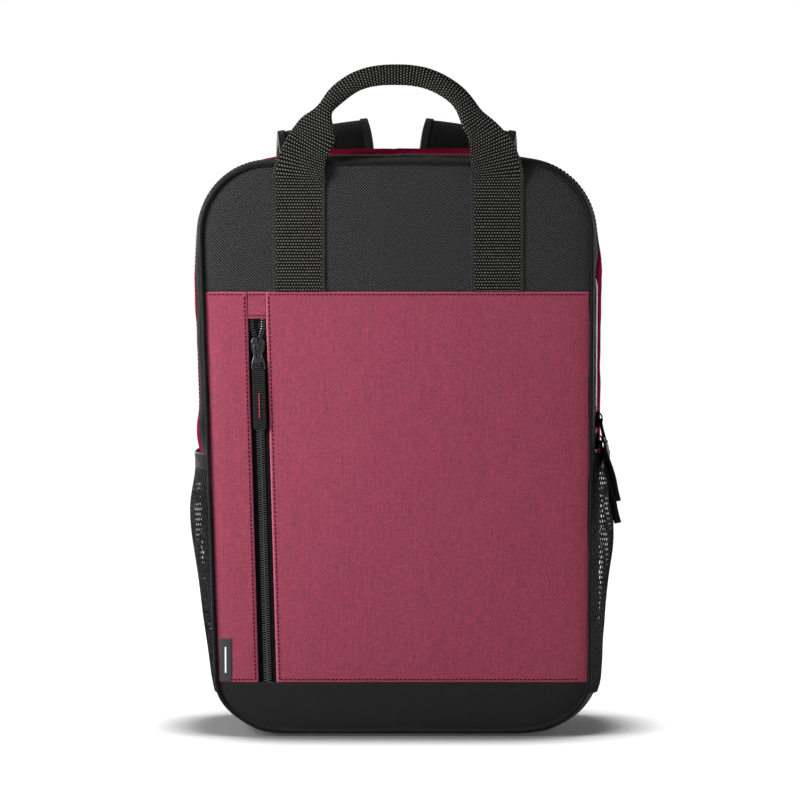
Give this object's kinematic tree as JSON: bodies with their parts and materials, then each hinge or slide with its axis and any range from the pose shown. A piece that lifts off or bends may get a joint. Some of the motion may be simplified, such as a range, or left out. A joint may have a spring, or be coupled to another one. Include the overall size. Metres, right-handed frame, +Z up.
{
  "type": "travel backpack",
  "caption": "Tall soft travel backpack with a flat front pocket, zip-round front flap, mesh side pockets, webbing carry handle and padded shoulder straps.",
  "frame": {"origin": "middle of the flat underside of the base, which the bag stands on", "axes": "+Z up, -Y out of the front with the pocket and the handle, +Y out of the back that rests on the wearer, +X to the right as seen facing the front"},
  "size_m": [0.3178, 0.1857, 0.4873],
  "materials": {
    "burgundy_fabric": "matte heather weave",
    "black_fabric": "matte twill",
    "mesh_fabric": "open net",
    "air_mesh": "padded spacer mesh",
    "lining": "plain lining",
    "webbing": "coarse woven webbing",
    "zip_tape": "woven tape",
    "zip_coil": "satin nylon",
    "gunmetal": "glossy dark plating",
    "black_plastic": "satin",
    "woven_label": "woven satin"
  },
  "bodies": {
    "pack": {"base_panel": "black_fabric", "side_gusset_left": "burgundy_fabric", "side_gusset_right": "burgundy_fabric", "front_gusset_lower_left": "black_fabric", "front_gusset_lower_right": "black_fabric", "top_gusset": "burgundy_fabric", "base_front_band": "black_fabric", "front_lower_backing": "lining", "back_panel": "black_fabric", "back_pad_left": "air_mesh", "back_pad_right": "air_mesh", "piping_front_lower": "black_fabric", "piping_back": "black_fabric", "pocket_strip_lower": "burgundy_fabric", "pocket_panel_lower": "burgundy_fabric", "side_label": "woven_label", "pocket_zip_left_lower": "zip_coil", "pocket_zip_right_lower": "zip_coil", "main_zip_tape_rear": "zip_tape", "main_zip_coil_rear": "zip_coil", "mesh_pocket_left": "mesh_fabric", "mesh_pocket_right": "mesh_fabric", "pocket_binding_left": "webbing", "pocket_binding_right": "webbing", "strap_yoke": "black_fabric", "webbing_anchor_left": "black_fabric", "webbing_anchor_right": "black_fabric", "laptop_divider": "lining", "base_board": "black_plastic", "lower_webbing_left": "webbing", "lower_webbing_right": "webbing"},
    "flap": {"front_gusset_upper": "black_fabric", "front_upper_backing": "lining", "front_upper_panel": "black_fabric", "pocket_strip_upper": "burgundy_fabric", "pocket_panel_upper": "burgundy_fabric", "pocket_zip_cap": "burgundy_fabric", "piping_front_upper": "black_fabric", "pocket_zip_left_upper": "zip_coil", "pocket_zip_right_upper": "zip_coil", "main_zip_tape_front": "zip_tape", "main_zip_coil_front": "zip_coil", "handle_leg_left": "webbing", "handle_leg_right": "webbing"},
    "handle": {"handle_grip": "webbing"},
    "pocket_slider": {"pocket_slider": "gunmetal"},
    "pocket_pull": {"pocket_pull": "gunmetal", "pocket_pull_tab": "webbing"},
    "main_lower_slider": {"main_lower_slider": "gunmetal"},
    "main_lower_pull": {"main_lower_pull": "gunmetal", "main_lower_pull_tab": "webbing"},
    "main_upper_slider": {"main_upper_slider": "gunmetal"},
    "main_upper_pull": {"main_upper_pull": "gunmetal", "main_upper_pull_tab": "webbing"},
    "strap_left": {"shoulder_strap_left": "black_fabric"},
    "strap_right": {"shoulder_strap_right": "black_fabric"},
    "lock_left": {"ladder_lock_left": "black_plastic"},
    "lock_right": {"ladder_lock_right": "black_plastic"},
    "laptop_strap": {"laptop_strap": "webbing"}
  },
  "joints": [
    {"name": "flap_fold", "type": "hinge", "parent": "pack", "child": "flap", "pos_m": [0, -0.064, 0.207], "axis": [1, 0, 0], "range_deg": [0, 100]},
    {"name": "handle_swing", "type": "hinge", "parent": "flap", "child": "handle", "pos_m": [0, -0.0616, 0.4045], "axis": [1, 0, 0], "range_deg": [0, 60], "stiffness_Nm_per_rad": 0.03, "springref_deg": -5.73},
    {"name": "pocket_zip_slide", "type": "slide", "parent": "flap", "child": "pocket_slider", "axis": [0.0273, 0, -0.9996], "range_m": [0, 0.06]},
    {"name": "pocket_pull_swing", "type": "hinge", "parent": "pocket_slider", "child": "pocket_pull", "pos_m": [-0.10048, -0.0626, 0.285], "axis": [-0.9996, 0, -0.0273], "range_deg": [0, 170]},
    {"name": "main_zip_lower_slide", "type": "slide", "parent": "pack", "child": "main_lower_slider", "axis": [0.004, 0, 1], "range_m": [0, 0.03]},
    {"name": "main_lower_pull_swing", "type": "hinge", "parent": "main_lower_slider", "child": "main_lower_pull", "pos_m": [0.14847, -0.04256, 0.21399], "axis": [-0.2324, -0.9726, 0.0009], "range_deg": [0, 130]},
    {"name": "main_zip_upper_slide", "type": "slide", "parent": "main_lower_slider", "child": "main_upper_slider", "axis": [0.004, 0, 1], "range_m": [0, 0.05]},
    {"name": "main_upper_pull_swing", "type": "hinge", "parent": "main_upper_slider", "child": "main_upper_pull", "pos_m": [0.14853, -0.04256, 0.22999], "axis": [-0.2324, -0.9726, 0.0009], "range_deg": [0, 130]},
    {"name": "strap_swing_left", "type": "hinge", "parent": "pack", "child": "strap_left", "pos_m": [-0.052, 0.0667, 0.4145], "axis": [1, 0, 0], "range_deg": [0, 25], "deforming": ["lower_webbing_left"]},
    {"name": "lock_tilt_left", "type": "hinge", "parent": "strap_left", "child": "lock_left", "pos_m": [-0.0785, 0.0955, 0.1545], "axis": [1, 0, 0], "range_deg": [-10, 35]},
    {"name": "strap_swing_right", "type": "hinge", "parent": "pack", "child": "strap_right", "pos_m": [0.052, 0.0667, 0.4145], "axis": [1, 0, 0], "range_deg": [0, 25], "deforming": ["lower_webbing_right"]},
    {"name": "lock_tilt_right", "type": "hinge", "parent": "strap_right", "child": "lock_right", "pos_m": [0.0785, 0.0955, 0.1545], "axis": [1, 0, 0], "range_deg": [-10, 35]},
    {"name": "laptop_strap_lift", "type": "hinge", "parent": "pack", "child": "laptop_strap", "pos_m": [0, 0.054, 0.336], "axis": [-1, 0, 0], "range_deg": [0, 100]}
  ],
  "couplings": [
    {"joint": "main_lower_pull_swing", "follows": "main_upper_pull_swing", "ratio": 1}
  ]
}
